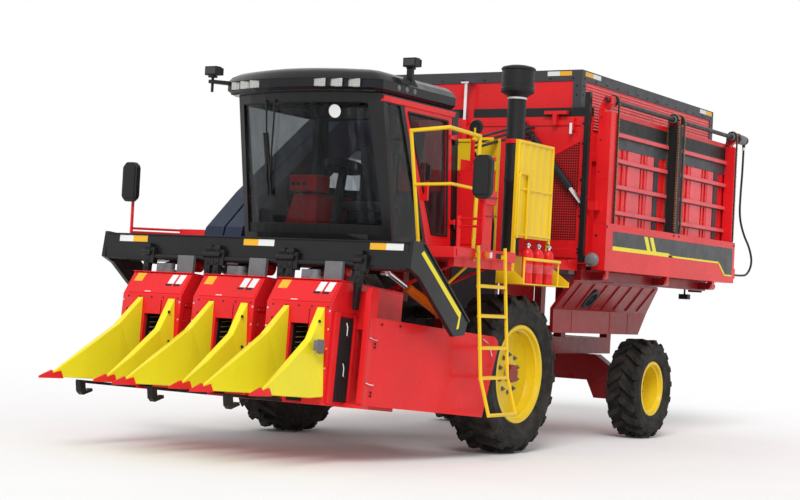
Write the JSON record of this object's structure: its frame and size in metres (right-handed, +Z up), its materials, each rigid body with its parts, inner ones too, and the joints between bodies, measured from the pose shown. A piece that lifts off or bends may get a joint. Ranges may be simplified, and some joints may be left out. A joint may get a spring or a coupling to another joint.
{
  "type": "cotton picker",
  "caption": "Self-propelled row-crop cotton picker with a raised picking header, glazed cab, large rear-wheel-steered chassis and a side-emptying bin with a telescoping top.",
  "frame": {"origin": "on the ground under the middle of the overall box", "axes": "+Y to the rear of the machine, +X to its left, +Z up"},
  "size_m": [4.09, 10.5784, 4.13],
  "materials": {
    "red_paint": "gloss enamel",
    "dark_red_paint": "gloss enamel",
    "black_paint": "satin enamel",
    "yellow_paint": "gloss enamel",
    "lemon_plastic": "moulded",
    "rim_yellow": "gloss enamel",
    "navy_duct": "moulded",
    "dark_grey_paint": "satin enamel",
    "frame_steel": "satin enamel",
    "tyre_rubber": "matt",
    "hose_rubber": "satin",
    "window_glass": "tinted",
    "chrome_rod": "polished",
    "cast_grey": "as cast",
    "steel": "worn",
    "orange_paint": "gloss enamel",
    "seat_cloth": "woven",
    "lamp_lens": "clear",
    "mirror_face": "moulded"
  },
  "bodies": {
    "chassis": {"main_frame": "dark_red_paint", "frame_posts": "dark_red_paint", "lift_brackets": "black_paint", "front_axle": "dark_red_paint", "rear_axle": "dark_red_paint", "engine_block": "cast_grey", "lower_body": "dark_red_paint", "deck": "red_paint", "handrail": "yellow_paint", "ladder": "yellow_paint", "cab_shell": "black_paint", "cab_glass": "window_glass", "cab_roof": "black_paint", "roof_lamps": "lamp_lens", "seat": "seat_cloth", "cab_controls": "black_paint", "bin_end_walls": "red_paint", "bin_right_wall": "red_paint", "bin_subframe": "dark_red_paint", "hinge_forks": "dark_red_paint", "bin_rails": "dark_grey_paint", "extinguisher_tray": "yellow_paint", "extinguishers": "red_paint", "tool_cabinet": "red_paint", "mirror_arms": "red_paint", "mirrors": "mirror_face", "ducts": "navy_duct", "intake_stack": "black_paint"},
    "header": {"header_frame": "black_paint", "lift_arms": "black_paint", "cabinet_left": "red_paint", "cabinet_middle": "red_paint", "cabinet_right": "red_paint", "spindle_drums": "steel", "dividers": "lemon_plastic", "divider_tips": "red_paint", "header_skids": "dark_red_paint", "side_shield": "red_paint"},
    "lift_barrel": {"lift_barrels": "orange_paint"},
    "lift_rod": {"lift_rods": "chrome_rod"},
    "bin_top": {"bin_top_panels": "red_paint", "bin_top_frame": "dark_grey_paint", "bin_lift_rods": "chrome_rod"},
    "unload_door": {"unload_door_frame": "red_paint", "unload_conveyor": "steel", "hose": "hose_rubber"},
    "door_barrel": {"door_barrels": "black_paint"},
    "door_rod": {"door_rods": "chrome_rod"},
    "cab_door": {"cab_door": "red_paint", "cab_door_glass": "window_glass"},
    "knuckle_left": {"knuckle_left": "dark_red_paint"},
    "knuckle_right": {"knuckle_right": "dark_red_paint"},
    "front_wheel_left": {"front_tyre_left": "tyre_rubber", "front_rim_left": "rim_yellow"},
    "front_wheel_right": {"front_tyre_right": "tyre_rubber", "front_rim_right": "rim_yellow"},
    "rear_wheel_left": {"rear_tyre_left": "tyre_rubber", "rear_rim_left": "rim_yellow"},
    "rear_wheel_right": {"rear_tyre_right": "tyre_rubber", "rear_rim_right": "rim_yellow"}
  },
  "joints": [
    {"name": "front_wheel_left_spin", "type": "hinge", "parent": "chassis", "child": "front_wheel_left", "pos_m": [1.3, -0.85634, 0.8], "axis": [1, 0, 0], "continuous": true},
    {"name": "steer_left", "type": "hinge", "parent": "chassis", "child": "knuckle_left", "pos_m": [0.95, 2.71366, 0.588], "axis": [0, 0, 1], "range_deg": [-35, 35]},
    {"name": "rear_wheel_left_spin", "type": "hinge", "parent": "knuckle_left", "child": "rear_wheel_left", "pos_m": [1.257, 2.71366, 0.588], "axis": [1, 0, 0], "continuous": true},
    {"name": "front_wheel_right_spin", "type": "hinge", "parent": "chassis", "child": "front_wheel_right", "pos_m": [-1.3, -0.85634, 0.8], "axis": [1, 0, 0], "continuous": true},
    {"name": "steer_right", "type": "hinge", "parent": "chassis", "child": "knuckle_right", "pos_m": [-0.95, 2.71366, 0.588], "axis": [0, 0, 1], "range_deg": [-35, 35]},
    {"name": "rear_wheel_right_spin", "type": "hinge", "parent": "knuckle_right", "child": "rear_wheel_right", "pos_m": [-1.257, 2.71366, 0.588], "axis": [1, 0, 0], "continuous": true},
    {"name": "header_lift", "type": "hinge", "parent": "chassis", "child": "header", "pos_m": [0, -2.10634, 1.38], "axis": [1, 0, 0], "range_deg": [0, 10]},
    {"name": "lift_barrel_pivot", "type": "hinge", "parent": "chassis", "child": "lift_barrel", "pos_m": [0, -1.45634, 1.37], "axis": [1, 0, 0], "range_deg": [-0.5, 5.02]},
    {"name": "lift_rod_slide", "type": "slide", "parent": "lift_barrel", "child": "lift_rod", "axis": [0, -0.9395, 0.3427], "range_m": [-0.002, 0.035]},
    {"name": "unload_door_fold", "type": "hinge", "parent": "chassis", "child": "unload_door", "pos_m": [1.47, 2.77366, 1.86], "axis": [0, 1, 0], "range_deg": [0, 90]},
    {"name": "door_barrel_pivot", "type": "hinge", "parent": "chassis", "child": "door_barrel", "pos_m": [0.55, 0.76366, 3.55], "axis": [0, 1, 0], "range_deg": [-5.67, 0.5]},
    {"name": "door_rod_slide", "type": "slide", "parent": "door_barrel", "child": "door_rod", "axis": [0.6614, 0, -0.7501], "range_m": [-0.002, 1.0752]},
    {"name": "cab_door_swing", "type": "hinge", "parent": "chassis", "child": "cab_door", "pos_m": [1.128, -1.63634, 2], "axis": [0, -0.066, 0.9978], "range_deg": [0, 30]},
    {"name": "bin_top_raise", "type": "slide", "parent": "chassis", "child": "bin_top", "axis": [0, 0, 1], "range_m": [-0.38, 0]}
  ],
  "couplings": [
    {"joint": "steer_right", "follows": "steer_left", "ratio": 1},
    {"joint": "lift_barrel_pivot", "follows": "header_lift", "ratio": 0.45206},
    {"joint": "lift_rod_slide", "follows": "header_lift", "m_per_rad": 0.18894},
    {"joint": "door_barrel_pivot", "follows": "unload_door_fold", "ratio": -0.057481},
    {"joint": "door_rod_slide", "follows": "unload_door_fold", "m_per_rad": 0.68324}
  ]
}
